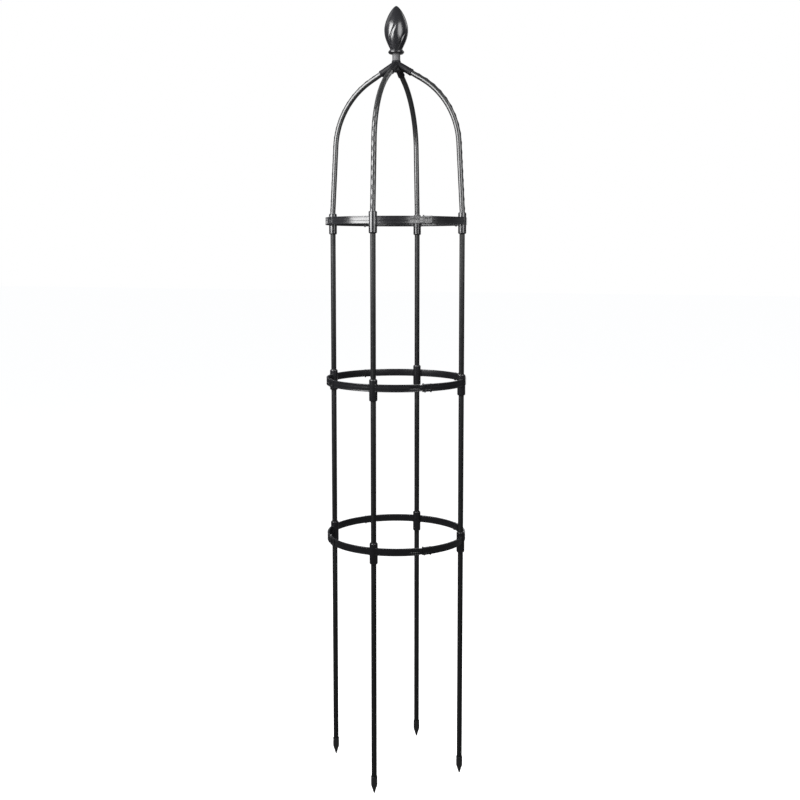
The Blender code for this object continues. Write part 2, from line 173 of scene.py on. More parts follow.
# Dome arms and hub.
ARM_KINK_HEIGHT = 1.4085
ARM_KINK_RADIUS = 0.060
ARM_LEAN = math.radians(3.2)
ARM_BEND_RADIUS = 0.192
ARM_STEP = 0.00085
ARM_BEND_POINTS = 60
HUB_HEIGHT = 1.7640
HUB_SLOPE = math.radians(30.5)
HUB_SOCKET_LENGTH = 0.0460
HUB_SOCKET_RADIUS = 0.0086
HUB_SOCKET_FLOOR = 0.0200
HUB_LIP = 0.0045
HUB_LIP_RISE = 0.0003
HUB_LIP_SLOPE = 0.0006
HUB_ROUNDING = 0.0005
HUB_CORE_RADIUS = 0.0110
HUB_CORE_TOP = 1.7705
HUB_CORE_BOTTOM = 1.7440
HUB_CORE_BEVEL = 0.0022
HUB_SPIGOT_DEPTH = 0.0140
HUB_VOXEL = 0.0006
HUB_SMOOTHING = 0.5
HUB_SMOOTHING_PASSES = 7

# Raised nubs on the dome arms' outward face.
NUB_PITCH = 0.0222
NUB_ROWS = 8
NUB_SHARE = 0.85
NUB_HEIGHT = 0.00095
NUB_SPREAD = math.radians(48.0)
NUB_SLANT = 0.0010
NUB_FADE = 0.004

# Finial.
SPIGOT_RADIUS = 0.0060
SPIGOT_SOCKET_RADIUS = 0.0064
POST_TOP = 1.7868
POST_RIM = 0.0022
POST_WAIST_START = 0.0027
POST_WAIST_DEPTH = 0.0004
POST_ROUNDING = 0.0004
COLLAR_FOOT_RADIUS = 0.0170
COLLAR_SHOULDER_RADIUS = 0.0150
COLLAR_SHOULDER_FLARE = 0.0006
COLLAR_SHOULDER_DROP = 0.0012
COLLAR_BRIM_INSET = 0.0004
COLLAR_BEVEL_BOTTOM = 1.7900
COLLAR_BEVEL_TOP = 1.7925
COLLAR_PLUG_RADIUS = 0.0118
BUD_FOOT_RADIUS = 0.0149
BUD_WIDEST_HEIGHT = 0.0432
BUD_FLARE = 0.0058
BUD_FLARE_HEIGHT = 0.0120
BUD_BELLY_BELOW = 0.0152
BUD_BELLY_ABOVE = 0.0260
BUD_TIP_FULLNESS = 0.0090
BUD_TIP_DROP = 0.0010
BUD_WALL = 0.0025
BUD_SIDES = 288
BUD_STEPS = 100
BUD_INNER_STEPS = 16

# The bud's flutes: angles in degrees, heights above its foot.
PETALS = 5
PETAL_START = -71.1
DEEP_FLUTE = 0.00125
DEEP_FLUTE_WIDTH = 5.5
SHALLOW_FLUTE = 0.00015
SHALLOW_FLUTE_WIDTH = 9.0
FLUTE_RISE = (-0.004, 0.010)
FLUTE_FADE = (0.046, 0.068)
FLUTE_HEIGHTS = (0.0, 0.008, 0.0244, 0.0364, 0.046, 0.058, 0.080)
FLUTE_LEADS = (-52, -48, -37, -23, -12, 0, 20)

# Camera, at the photograph's viewing angle.
CAMERA_AZIMUTH = math.radians(18.89)
CAMERA_DISTANCE = 2.719
CAMERA_HEIGHT = 1.319
CAMERA_YAW = math.radians(18.70)
CAMERA_PITCH = math.radians(5.78)
CAMERA_LENS = 49.50
CAMERA_SHIFT = -0.05
SENSOR_WIDTH = 36.0

# Linear colours of the finishes.
COATING_DARK = (0.0085, 0.0088, 0.0092, 1.0)
COATING_LIGHT = (0.0165, 0.0168, 0.0172, 1.0)
COATING_DUST = (0.060, 0.058, 0.054, 1.0)
COATING_WORN = (0.045, 0.045, 0.046, 1.0)
PLASTIC_DARK = (0.0060, 0.0060, 0.0070)
PLASTIC_LIGHTENING = 1.8
PLASTIC_DUST = (0.050, 0.049, 0.047, 1.0)
PLASTIC_WORN = (0.035, 0.035, 0.036, 1.0)
ZINC_DARK = (0.050, 0.050, 0.052, 1.0)
ZINC_LIGHT = (0.085, 0.085, 0.088, 1.0)
ZINC_WORN = (0.20, 0.20, 0.205, 1.0)

# Wear, dust and sheen: noise scales per metre, and the range of a value over which each sets in.
WEAR_SCALE = 420.0
WEAR_PATCHES = (0.40, 0.62)
DUST_SCALE = 160.0
DUST_PATCHES = (0.42, 0.70)
DUST_FACING = (0.35, 1.0)
SHEEN_PATCHES = (0.30, 0.70)
COAT_SMOOTHER = 0.8

# Studio.
BACKDROP_CAST = (0.93, 0.96, 1.0, 1.0)
BACKDROP_CAST_STRENGTH = 0.16
FLOOR_HALF_SIZE = 30.0
FLOOR_SEEN = (0.90, 0.90, 0.90, 1.0)
FLOOR_SEEN_ROUGHNESS = 0.9
FLOOR_SEEN_GLOW = 0.85
FLOOR_CAST = (0.22, 0.22, 0.22, 1.0)
WHITE = (1.0, 1.0, 1.0, 1.0)


def smooth_step(low, high, value):
    """0 below low, 1 above high, and a smooth rise between."""
    t = np.clip((value - low) / (high - low), 0.0, 1.0)
    return t * t * (3.0 - 2.0 * t)


def rounded(corners, reach, closed=True, steps=3):
    """An outline whose corners are rounded off, each starting a reach away from it."""
    points = [np.array(corner, float) for corner in corners]
    reaches = reach if isinstance(reach, (list, tuple)) else [reach] * len(points)
    outline = []
    for place, corner in enumerate(points):
        if not closed and place in (0, len(points) - 1):
            outline.append(corner)
            continue
        into = points[place - 1] - corner
        out_of = points[(place + 1) % len(points)] - corner
        near = corner + into * min(CORNER_SHARE, reaches[place] / np.linalg.norm(into))
        far = corner + out_of * min(CORNER_SHARE, reaches[place] / np.linalg.norm(out_of))
        for t in np.linspace(0.0, 1.0, steps + 1):
            outline.append((1 - t) ** 2 * near + 2 * t * (1 - t) * corner + t * t * far)
    return np.array(outline)


def tidied(mesh):
    """The mesh welded, with its faces turned outwards."""
    body = bmesh.new()
    body.from_mesh(mesh)
    bmesh.ops.remove_doubles(body, verts=body.verts, dist=WELD)
    bmesh.ops.recalc_face_normals(body, faces=body.faces)
    body.to_mesh(mesh)
    body.free()
    return mesh


def skinned(loops, name, closed=False):
    """A mesh over rings of points: the last ring meets the first, or both ends are capped."""
    rings, sides = loops.shape[:2]
    index = np.arange(rings * sides).reshape(rings, sides)
    lower = index if closed else index[:-1]
    upper = np.roll(index, -1, axis=0)[: len(lower)]
    quads = np.stack([lower, np.roll(lower, -1, axis=1), np.roll(upper, -1, axis=1), upper], axis=-1)
    faces = quads.reshape(-1, 4).tolist()
    if not closed:
        faces += [index[0][::-1].tolist(), index[-1].tolist()]
    mesh = bpy.data.meshes.new(name)
    mesh.from_pydata(loops.reshape(-1, 3).tolist(), [], faces)
    return tidied(mesh)


def turned(profile, sides, name, closed=False):
    """A solid turned about Z, from (radius, height) points that run axis to axis unless closed."""
    profile = np.array(profile)
    angles = np.linspace(0.0, math.tau, sides, endpoint=False)
    x = np.outer(profile[:, 0], np.cos(angles))
    y = np.outer(profile[:, 0], np.sin(angles))
    z = np.outer(profile[:, 1], np.ones(sides))
    return skinned(np.stack([x, y, z], axis=-1), name, closed)


def baked(obj):
    """The object's evaluated mesh; the object is removed."""
    bpy.context.view_layer.update()
    evaluated = obj.evaluated_get(bpy.context.evaluated_depsgraph_get())
    mesh = bpy.data.meshes.new_from_object(evaluated)
    mesh.name = obj.name
    bpy.data.objects.remove(obj, do_unlink=True)
    return mesh


def in_scene(mesh, name):
    """An object of the scene."""
    obj = bpy.data.objects.new(name, mesh)
    bpy.context.scene.collection.objects.link(obj)
    return obj


def combined(mesh, others, operation, name):
    """The mesh after a union with, or a difference from, each of the other meshes."""
    target = in_scene(mesh, name)
    tools = [in_scene(other, f"{name}_tool_{place}") for place, other in enumerate(others)]
    for tool in tools:
        modifier = target.modifiers.new(operation, "BOOLEAN")
        modifier.operation = operation
        modifier.solver = "EXACT"
        modifier.object = tool
    result = baked(target)
    for tool in tools:
        bpy.data.objects.remove(tool, do_unlink=True)
    return tidied(result)


def piece(mesh, node, material, sharp=CREASE_ANGLE):
    """A finished piece that stands for a CAD node and rides on its body."""
    obj = in_scene(mesh, f"{node}_detail")
    mesh.materials.clear()
    mesh.materials.append(material)
    mesh.shade_smooth()
    mesh.set_sharp_from_angle(angle=math.radians(sharp))
    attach(obj, BODY_OF[node])
    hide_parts(node)
    return obj


def at_leg(mesh, angle, height=0.0):
    """A copy of a right-hand leg's mesh, turned to another leg and raised."""
    copy = mesh.copy()
    copy.transform(Matrix.Translation((0.0, 0.0, height)) @ Matrix.Rotation(math.radians(angle), 4, "Z"))
    return copy


# Straight tubes and ground spikes.


def tube_mesh(node):
    """A hollow tube with softened ends, where the right-hand CAD tube is."""
    low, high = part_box(node)
    outline = [
        (TUBE_RADIUS, low.z),
        (TUBE_RADIUS, high.z),
        (TUBE_RADIUS - TUBE_WALL, high.z),
        (TUBE_RADIUS - TUBE_WALL, low.z),
    ]
    mesh = turned(rounded(outline, TUBE_WALL / 4), TUBE_SIDES, node, closed=True)
    mesh.transform(Matrix.Translation((LEG_RADIUS, 0.0, 0.0)))
    return mesh


def spike_mesh():
    """A pointed cap with a soft shoulder, a grip groove and a rounded tip."""
    top = SPIKE_HIGH.z
    groove = top - SPIKE_GROOVE_BELOW_TOP
    outline = [
        (0.0, SPIKE_LOW.z),
        (SPIKE_TIP_RADIUS, SPIKE_LOW.z),
        (SPIKE_POINT_RADIUS, SPIKE_POINT_HEIGHT),
        (SPIKE_RADIUS, SPIKE_SHOULDER_HEIGHT),
        (SPIKE_RADIUS, groove - SPIKE_GROOVE_HALF_WIDTH),
        (SPIKE_RADIUS - SPIKE_GROOVE_DEPTH, groove),
        (SPIKE_RADIUS, groove + SPIKE_GROOVE_HALF_WIDTH),
        (SPIKE_RADIUS, top),
        (SOCKET_RADIUS, top),
        (SOCKET_RADIUS, SPIKE_SOCKET_FLOOR),
        (0.0, SPIKE_SOCKET_FLOOR),
    ]
    reach = [0, 0.0009, 0.0040, 0.0030, 0.0006, 0.0005, 0.0006, 0.0005, 0.0002, 0.0004, 0]
    mesh = turned(rounded(outline, reach, closed=False, steps=4), TUBE_SIDES, "spike")
    mesh.transform(Matrix.Translation((LEG_RADIUS, 0.0, 0.0)))
    return mesh


# Ring quarters.


def onto_ring(s, outwards, up):
    """Points of a quarter, from lengths along the band, distances outwards and heights."""
    angle = s / BAND_RADIUS
    radius = BAND_RADIUS + outwards
    return np.stack([radius * np.cos(angle), radius * np.sin(angle), up + BAND_LIFT], axis=-1)


def on_ring(stations, sections, name):
    """A solid swept along the band: one (outwards, up) outline for each station."""
    loops = [onto_ring(s, section[:, 0], section[:, 1]) for s, section in zip(stations, sections)]
    return skinned(np.array(loops), name)


def band_section(s):
    """The band's cross-section at one length along it: two rims, a valley each side of a low bead."""
    web = 1.0 - smooth_step(WEB_START, WEB_REACH, abs(s))
    shoulder = smooth_step(BAND_SHOULDER - BAND_SHOULDER_RAMP, BAND_SHOULDER, s)
    half = BAND_HALF_HEIGHT + WEB_HEIGHT * web ** 2 + (NECK_HALF_HEIGHT - BAND_HALF_HEIGHT) * shoulder
    outer = BAND_HALF_THICKNESS + WEB_OUTER * web ** 2
    inner = -BAND_HALF_THICKNESS - WEB_INNER * web ** 2
    valley = outer - BAND_VALLEY * (1.0 - bar_at(s)) * (1.0 + BARS_DEEPER_VALLEY * inside_bars(s))
    bead = outer - BEAD_DROP - BARS_DEEPER_BEAD * inside_bars(s) * (1.0 - bar_at(s))
    rim = half - BAND_RIM
    corners = [
        (inner, -half),
        (inner, half),
        (outer, half),
        (outer, rim),
        (valley, rim - BAND_VALLEY_SLOPE),
        (valley, BEAD_FOOT),
        (bead, BEAD_HALF_HEIGHT),
        (bead, -BEAD_HALF_HEIGHT),
        (valley, -BEAD_FOOT),
        (valley, -rim + BAND_VALLEY_SLOPE),
        (outer, -rim),
        (outer, -half),
    ]
    reach = [0.0011, 0.0011, 0.0009, 0.0004, 0.0003, 0.0003, 0.0004, 0.0004, 0.0003, 0.0003, 0.0004, 0.0009]
    return rounded(corners, reach)


def inside_bars(s):
    """1 along the barred stretch before the joint, 0 elsewhere."""
    end = BARS_START + BAR_COUNT * BAR_PITCH
    begun = smooth_step(BARS_START - BARS_RAMP, BARS_START, s)
    return begun * (1.0 - smooth_step(end - BARS_RAMP, end, s))


def bar_at(s):
    """1 on an upright bar of the barred stretch, 0 between the bars."""
    share = ((s - BARS_START) / BAR_PITCH) % 1.0
    from_middle = abs(share - 0.5) * 2.0
    on_bar = 1.0 - smooth_step(BAR_SHARE - BAR_SOFTNESS, BAR_SHARE + BAR_SOFTNESS, from_middle)
    return on_bar * inside_bars(s)


def shrunk(section, by):
    """A cross-section drawn in towards its middle, for a rounded end."""
    middle = (section.min(axis=0) + section.max(axis=0)) / 2
    half = (section.max(axis=0) - section.min(axis=0)) / 2
    return middle + (section - middle) * (1.0 - by / half)


def end_rounding(stations, radius):
    """How far each station's section draws in, for ends rounded to a radius."""
    from_end = np.minimum(stations - stations[0], stations[-1] - stations)
    rest = np.clip(1.0 - from_end / radius, 0.0, 1.0)
    return radius * (1.0 - np.sqrt(1.0 - rest ** 2))


def band_mesh():
    """The band, from inside its clip to the end of its neck."""
    plain = np.arange(CLIP_FLOOR + BAND_INSET, NECK_END, BAND_STEP)
    web = np.arange(-WEB_REACH, WEB_REACH, WEB_STEP)
    bars = np.arange(BARS_START - BARS_MARGIN, BAND_SHOULDER + BARS_MARGIN, BARS_STEP)
    end = np.linspace(NECK_END - NECK_END_RUN, NECK_END, 6)
    stations = np.unique(np.concatenate([plain, web, bars, end]).round(6))
    draw_in = end_rounding(stations, NECK_END_ROUNDING)
    sections = [shrunk(band_section(s), by) for s, by in zip(stations, draw_in)]
    return on_ring(stations, sections, "band")


def block_mesh(start, end, half_thickness, half_height, radius, name):
    """A plain block along the band with every edge rounded."""
    ramp = radius * (1.0 - np.cos(np.linspace(0.0, math.pi / 2, 6)))
    plain = np.arange(start + radius, end - radius, BAND_STEP)
    stations = np.unique(np.concatenate([start + ramp, plain, end - ramp]))
    corners = [(-1, -1), (-1, 1), (1, 1), (1, -1)]
    outline = [(x * half_thickness, y * half_height) for x, y in corners]
    section = rounded(outline, radius, steps=5)
    sections = [shrunk(section, by) for by in end_rounding(stations, radius)]
    return on_ring(stations, sections, name)


def clip_section(s):
    """The clip's cross-section: a ridge round each end and two windows in its outer face."""
    along = s - CLIP_MOUTH
    ridge = 1.0 - smooth_step(*CLIP_NEAR_RIDGE, along) + smooth_step(*CLIP_FAR_RIDGE, along)
    window = 0.0
    for low, high in CLIP_WINDOWS:
        begun = smooth_step(low, low + CLIP_WINDOW_RAMP, along)
        window += begun * (1.0 - smooth_step(high, high + CLIP_WINDOW_RAMP, along))
    thick = CLIP_HALF_THICKNESS + CLIP_RIDGE * ridge
    high = CLIP_HALF_HEIGHT + CLIP_RIDGE * ridge
    floor = thick - CLIP_WINDOW_DEPTH * window
    corners = [
        (-thick, -high),
        (-thick, high),
        (thick, high),
        (thick, CLIP_WINDOW_HALF_HEIGHT + CLIP_WINDOW_RAMP),
        (floor, CLIP_WINDOW_HALF_HEIGHT),
        (floor, -CLIP_WINDOW_HALF_HEIGHT),
        (thick, -CLIP_WINDOW_HALF_HEIGHT - CLIP_WINDOW_RAMP),
        (thick, -high),
    ]
    reach = [0.0012, 0.0012, 0.0012, 0.0003, 0.0003, 0.0003, 0.0003, 0.0012]
    return rounded(corners, reach)


def clip_mesh():
    """The clip's outside with its windows, before its nubs and slot."""
    ends = CLIP_ROUNDING * (1.0 - np.cos(np.linspace(0.0, math.pi / 2, 5)))
    run = np.arange(CLIP_MOUTH + CLIP_ROUNDING, CLIP_END - CLIP_ROUNDING, CLIP_STEP)
    stations = np.unique(np.concatenate([CLIP_MOUTH + ends, run, CLIP_END - ends]).round(6))
    draw_in = end_rounding(stations, CLIP_ROUNDING)
    sections = [shrunk(clip_section(s), by) for s, by in zip(stations, draw_in)]
    return on_ring(stations, sections, "clip")


def nub_mesh(s, up):
    """A small rounded nub on the clip's upper or lower edge."""
    start = s - CLIP_NUB_HALF_LENGTH
    end = s + CLIP_NUB_HALF_LENGTH
    mesh = block_mesh(
        start, end, CLIP_NUB_HALF_THICKNESS, CLIP_NUB_HALF_HEIGHT, CLIP_NUB_ROUNDING, "nub"
    )
    mesh.transform(Matrix.Translation((0.0, 0.0, up)))
    return mesh


def sleeve_mesh():
    """The leg sleeve's outside: a straight barrel with a longer taper and a soft lip at each mouth."""
    half = SLEEVE_LENGTH / 2
    lip = half - SLEEVE_LIP
    outline = [
        (0.0, -half),
        (SLEEVE_MOUTH_RADIUS, -half),
        (SLEEVE_MOUTH_RADIUS + SLEEVE_LIP_SWELL, -lip),
        (SLEEVE_RADIUS, -half + SLEEVE_TAPER),
        (SLEEVE_RADIUS, half - SLEEVE_TAPER),
        (SLEEVE_MOUTH_RADIUS + SLEEVE_LIP_SWELL, lip),
        (SLEEVE_MOUTH_RADIUS, half),
        (0.0, half),
    ]
    reach = [0, 0.0003, 0.0003, 0.0010, 0.0010, 0.0003, 0.0003, 0]
    mesh = turned(rounded(outline, reach, closed=False, steps=5), TUBE_SIDES, "sleeve")
    mesh.transform(Matrix.Translation((LEG_RADIUS, 0.0, 0.0)))
    return mesh


def socket_bore(bottom, top):
    """The space a tube fills in a sleeve."""
    outline = [(0.0, bottom), (SOCKET_RADIUS, bottom), (SOCKET_RADIUS, top), (0.0, top)]
    mesh = turned(outline, TUBE_SIDES, "socket_bore")
    mesh.transform(Matrix.Translation((LEG_RADIUS, 0.0, 0.0)))
    return mesh


def quarter_mesh():
    """One ring quarter on the right-hand leg, its sleeve's middle at height zero."""
    nubs = [nub_mesh(s, CLIP_NUB_LOW) for s in CLIP_NUBS_BELOW]
    nubs += [nub_mesh(s, CLIP_NUB_HIGH) for s in CLIP_NUBS_ABOVE]
    tongue = block_mesh(
        BAND_SHOULDER, TONGUE_TIP, TONGUE_HALF_THICKNESS, TONGUE_HALF_HEIGHT, TONGUE_ROUNDING, "tongue"
    )
    slot_half = TONGUE_HALF_THICKNESS + GAP
    slot_tall = TONGUE_HALF_HEIGHT + GAP
    slot_start = CLIP_MOUTH - CLIP_SLOT_OVERRUN
    slot = block_mesh(slot_start, CLIP_FLOOR, slot_half, slot_tall, CLIP_SLOT_ROUNDING, "clip_slot")
    clip = combined(clip_mesh(), [*nubs, band_mesh()], "UNION", "band_and_clip")
    clip = combined(clip, [slot], "DIFFERENCE", "slotted_clip")
    body = combined(clip, [sleeve_mesh(), tongue], "UNION", "ring_quarter_body")
    bores = [
        socket_bore(SLEEVE_STOP / 2, SLEEVE_LENGTH),
        socket_bore(-SLEEVE_LENGTH, -SLEEVE_STOP / 2),
    ]
    return combined(body, bores, "DIFFERENCE", "ring_quarter")


# Dome arms.


def arm_corners():
    """Corners of the arm's centreline as (radius, height), from its foot up to its seat in the hub."""
    foot = np.array((LEG_RADIUS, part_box("dome_arm_right")[0].z))
    kink = np.array((LEG_RADIUS, ARM_KINK_HEIGHT))
    hub = np.array((0.0, HUB_HEIGHT))
    rising = np.array((-math.sin(ARM_LEAN), math.cos(ARM_LEAN)))
    falling = np.array((math.cos(HUB_SLOPE), -math.sin(HUB_SLOPE)))
    along = np.linalg.solve(np.column_stack([rising, -falling]), hub - kink)[0]
    return [foot, kink, kink + rising * along, hub + falling * (HUB_SOCKET_FLOOR + GAP)]


def arm_centreline():
    """Evenly spaced points along the arm, with its corners bent to their radii."""
    foot, kink, corner, seat = arm_corners()
    bends = [(foot, kink, corner, ARM_KINK_RADIUS), (kink, corner, seat, ARM_BEND_RADIUS)]
    points = [foot]
    for before, bend, after, radius in bends:
        into = (bend - before) / np.linalg.norm(bend - before)
        out_of = (after - bend) / np.linalg.norm(after - bend)
        turn = math.acos(float(into @ out_of))
        start = bend - into * radius * math.tan(turn / 2)
        centre = start + np.array((-into[1], into[0])) * radius
        spoke = start - centre
        for angle in np.linspace(0.0, turn, ARM_BEND_POINTS):
            turned_spoke = (
                spoke[0] * math.cos(angle) - spoke[1] * math.sin(angle),
                spoke[0] * math.sin(angle) + spoke[1] * math.cos(angle),
            )
            points.append(centre + turned_spoke)
    points.append(seat)
    points = np.array(points)
    lengths = np.concatenate([[0.0], np.cumsum(np.linalg.norm(np.diff(points, axis=0), axis=1))])
    even = np.arange(0.0, lengths[-1], ARM_STEP)
    even = np.append(even, lengths[-1])
    return even, np.column_stack([np.interp(even, lengths, points[:, axis]) for axis in (0, 1)])


def nub_height(length, angle, total):
    """How far the arm's skin stands out at a length along it and an angle round it."""
    row = angle / math.tau * NUB_ROWS
    across = np.abs(row - np.round(row)) * 2.0
    stagger = (np.round(row) % 2) * NUB_PITCH / 2
    shift = stagger + NUB_SLANT * (row - np.round(row)) * 2.0
    along = 0.5 - 0.5 * np.cos(math.tau * (length + shift) / NUB_PITCH)
    shape = (1.0 - smooth_step(0.0, NUB_SHARE, across)) * along ** 2
    from_outward = np.minimum(angle, math.tau - angle)
    shape = shape * np.exp(-((from_outward / NUB_SPREAD) ** 2))
    foot_end = smooth_step(SLEEVE_LENGTH / 2, SLEEVE_LENGTH / 2 + NUB_FADE, length)
    seat = HUB_SOCKET_LENGTH - HUB_SOCKET_FLOOR
    hub_end = smooth_step(seat, seat + NUB_FADE, total - length)
    return NUB_HEIGHT * shape * foot_end * hub_end


def arm_mesh():
    """The bent, nubbed, hollow arm in the plane of the right-hand leg."""
    lengths, line = arm_centreline()
    run = np.gradient(line, lengths, axis=0)
    run /= np.linalg.norm(run, axis=1)[:, None]
    outward = np.column_stack([run[:, 1], -run[:, 0]])
    angles = np.linspace(0.0, math.tau, TUBE_SIDES, endpoint=False)
    raised = nub_height(lengths[:, None], angles[None, :], lengths[-1])
    skins = []
    for radius in (TUBE_RADIUS + raised, np.full_like(raised, TUBE_RADIUS - TUBE_WALL)):
        sideways = radius * np.sin(angles)[None, :]
        away = radius * np.cos(angles)[None, :]
        x = line[:, 0, None] + outward[:, 0, None] * away
        z = line[:, 1, None] + outward[:, 1, None] * away
        skins.append(np.stack([x, sideways, z], axis=-1))
    loops = np.concatenate([skins[0], skins[1][::-1]])
    return skinned(loops, "dome_arm", closed=True)


# Hub and finial.


def sloped(profile, angle, name):
    """A solid turned about a hub socket's axis, from (radius, distance from the hub's centre) points."""
    mesh = turned(profile, TUBE_SIDES, name)
    tilt = Matrix.Rotation(math.pi / 2 + HUB_SLOPE, 4, "Y")
    turn = Matrix.Rotation(math.radians(angle), 4, "Z")
    mesh.transform(Matrix.Translation((0.0, 0.0, HUB_HEIGHT)) @ turn @ tilt)
    return mesh


def hub_mesh():
    """Four arm sockets blended into a core, with a raised lip at each mouth."""
    lip = HUB_SOCKET_LENGTH - HUB_LIP
    arm = [
        (0.0, 0.0),
        (HUB_SOCKET_RADIUS - HUB_LIP_RISE, 0.0),
        (HUB_SOCKET_RADIUS - HUB_LIP_RISE, lip),
        (HUB_SOCKET_RADIUS, lip + HUB_LIP_SLOPE),
        (HUB_SOCKET_RADIUS, HUB_SOCKET_LENGTH),
        (0.0, HUB_SOCKET_LENGTH),
    ]
    core = [
        (0.0, HUB_CORE_BOTTOM),
        (HUB_CORE_RADIUS - HUB_CORE_BEVEL, HUB_CORE_BOTTOM),
        (HUB_CORE_RADIUS, HUB_CORE_BOTTOM + HUB_CORE_BEVEL),
        (HUB_CORE_RADIUS, HUB_CORE_TOP),
        (0.0, HUB_CORE_TOP),
    ]
    arm = rounded(arm, HUB_ROUNDING, closed=False)
    arms = [sloped(arm, angle, "hub_arm") for angle in LEG_ANGLES.values()]
    rough = combined(turned(core, TUBE_SIDES, "hub_core"), arms, "UNION", "hub_rough")
    blend = in_scene(rough, "hub_blend")
    remesh = blend.modifiers.new("even_faces", "REMESH")
    remesh.mode = "VOXEL"
    remesh.voxel_size = HUB_VOXEL
    smooth = blend.modifiers.new("fillets", "SMOOTH")
    smooth.factor = HUB_SMOOTHING
    smooth.iterations = HUB_SMOOTHING_PASSES
    body = baked(blend)
    reach = HUB_SOCKET_LENGTH + SLEEVE_LENGTH
    bore = [
        (0.0, HUB_SOCKET_FLOOR),
        (SOCKET_RADIUS, HUB_SOCKET_FLOOR),
        (SOCKET_RADIUS, reach),
        (0.0, reach),
    ]
    bores = [sloped(bore, angle, "arm_bore") for angle in LEG_ANGLES.values()]
    floor = HUB_CORE_TOP - HUB_SPIGOT_DEPTH - GAP
    above = HUB_CORE_TOP + HUB_SPIGOT_DEPTH
    seat = [(0.0, floor), (SPIGOT_SOCKET_RADIUS, floor), (SPIGOT_SOCKET_RADIUS, above), (0.0, above)]
    bores.append(turned(seat, TUBE_SIDES, "post_bore"))
    return combined(body, bores, "DIFFERENCE", "top_hub")


def post_mesh():
    """The zinc spacer: a barrel with a slight waist between two rims, and a spigot at each end."""
    bottom = HUB_CORE_TOP + GAP
    outline = [
        (0.0, POST_LOW.z),
        (SPIGOT_RADIUS, POST_LOW.z),
        (SPIGOT_RADIUS, bottom),
        (POST_RADIUS, bottom),
        (POST_RADIUS, bottom + POST_RIM),
        (POST_RADIUS - POST_WAIST_DEPTH, bottom + POST_WAIST_START),
        (POST_RADIUS - POST_WAIST_DEPTH, POST_TOP - POST_WAIST_START),
        (POST_RADIUS, POST_TOP - POST_RIM),
        (POST_RADIUS, POST_TOP),
        (SPIGOT_RADIUS, POST_TOP),
        (SPIGOT_RADIUS, POST_HIGH.z),
        (0.0, POST_HIGH.z),
    ]
    return turned(rounded(outline, POST_ROUNDING, closed=False), TUBE_SIDES * 2, "finial_post")


def collar_mesh():
    """The flared collar, with a rounded bevel and an undercut skirt."""
    shoulder = BUD_LOW.z - GAP
    foot = POST_TOP + GAP
    outline = [
        (COLLAR_PLUG_RADIUS, COLLAR_HIGH.z),
        (COLLAR_PLUG_RADIUS, shoulder),
        (COLLAR_SHOULDER_RADIUS, shoulder),
        (COLLAR_SHOULDER_RADIUS + COLLAR_SHOULDER_FLARE, shoulder - COLLAR_SHOULDER_DROP),
        (COLLAR_RADIUS - COLLAR_BRIM_INSET, COLLAR_BEVEL_TOP),
        (COLLAR_RADIUS, COLLAR_BEVEL_BOTTOM),
        (COLLAR_FOOT_RADIUS, foot),
        (SPIGOT_SOCKET_RADIUS, foot),
        (SPIGOT_SOCKET_RADIUS, COLLAR_HIGH.z),
    ]
    reach = [0.0004, 0.0003, 0.0005, 0.0007, 0.0012, 0.0010, 0.0008, 0.0003, 0.0003]
    return turned(rounded(outline, reach, steps=5), TUBE_SIDES * 2, "finial_collar", closed=True)


def bud_side(inset, steps):
    """The bud's side from foot to tip as (radius, height above its foot), moved in by a wall thickness."""
    tip = BUD_HEIGHT - inset
    foot = (BUD_FOOT_RADIUS - inset, 0.0)
    widest = (BUD_RADIUS - inset, BUD_WIDEST_HEIGHT)
    flare = (foot[0] + BUD_FLARE, BUD_FLARE_HEIGHT)
    lower = (foot, flare, (widest[0], BUD_WIDEST_HEIGHT - BUD_BELLY_BELOW), widest)
    belly = (widest[0], BUD_WIDEST_HEIGHT + BUD_BELLY_ABOVE)
    upper = (widest, belly, (BUD_TIP_FULLNESS, tip - BUD_TIP_DROP), (0.0, tip))
    side = []
    for corners in (lower, upper):
        t = np.linspace(0.0, 1.0, steps)[:, None]
        a, b, c, d = (np.array(corner) for corner in corners)
        side.append((1 - t) ** 3 * a + 3 * t * (1 - t) ** 2 * b + 3 * t ** 2 * (1 - t) * c + t ** 3 * d)
    return np.concatenate([side[0], side[1][1:]])


def flute_depth(height, angle):
    """Depth of the bud's flutes: a deep and a shallow one for each petal, which fade out upwards."""
    fade = (1.0 - smooth_step(*FLUTE_FADE, height)) * smooth_step(*FLUTE_RISE, height)
    deep_lead = np.interp(height, FLUTE_HEIGHTS, FLUTE_LEADS)
    shallow_lead = deep_lead + 180.0 / PETALS
    pitch = 360.0 / PETALS
    flutes = [
        (deep_lead, DEEP_FLUTE, DEEP_FLUTE_WIDTH),
        (shallow_lead, SHALLOW_FLUTE, SHALLOW_FLUTE_WIDTH),
    ]
    depth = 0.0
    for lead, deep, width in flutes:
        away = (np.degrees(angle) - PETAL_START - lead + pitch / 2) % pitch - pitch / 2
        depth = depth + deep * np.exp(-((away / width) ** 2))
    return depth * fade


def bud_mesh():
    """The hollow, fluted bud."""
    outside = bud_side(0.0, BUD_STEPS)
    inside = bud_side(BUD_WALL, BUD_INNER_STEPS)
    angles = np.linspace(0.0, math.tau, BUD_SIDES, endpoint=False)
    outer_radius = outside[:, 0, None] - flute_depth(outside[:, 1, None], angles[None, :])
    inner_radius = np.repeat(inside[::-1, 0, None], BUD_SIDES, axis=1)
    radius = np.concatenate([np.maximum(outer_radius, 0.0), inner_radius])
    height = np.concatenate([outside[:, 1], inside[::-1, 1]]) + BUD_LOW.z
    heights = np.repeat(height[:, None], BUD_SIDES, axis=1)
    loops = np.stack([radius * np.cos(angles), radius * np.sin(angles), heights], axis=-1)
    return skinned(loops, "finial_bud", closed=True)


# Finishes.


